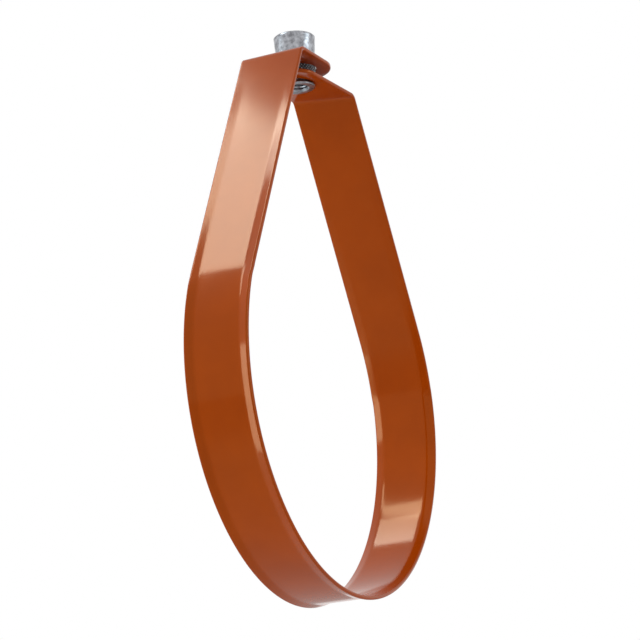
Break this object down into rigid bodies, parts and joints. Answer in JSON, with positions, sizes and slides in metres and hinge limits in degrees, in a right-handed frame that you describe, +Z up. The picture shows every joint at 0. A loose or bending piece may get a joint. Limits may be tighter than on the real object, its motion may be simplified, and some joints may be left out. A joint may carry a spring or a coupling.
{
  "type": "swivel ring pipe hanger",
  "caption": "Copper-coloured steel band bent into a teardrop ring with flared edges, hung from a threaded rod by a knurled insert nut on which it swivels.",
  "frame": {"origin": "centre of the ring, on the axis of the tube that it holds", "axes": "+Z up along the rod's axis, +Y along the tube's axis, +X across the ring, towards the leg that carries the lower tab"},
  "size_m": [0.1636, 0.0289, 0.2299],
  "materials": {
    "copper_coat": "copper-brown epoxy coat over steel strip, glossy",
    "zinc_plate": "bright zinc plate over turned steel, slightly mottled"
  },
  "bodies": {
    "nut": {"swivel_nut": "zinc_plate"},
    "band": {"ring_band": "copper_coat"}
  },
  "joints": [
    {"name": "band_swivel", "type": "hinge", "parent": "nut", "child": "band", "pos_m": [0, 0, 0.13], "axis": [0, 0, 1], "continuous": true}
  ]
}
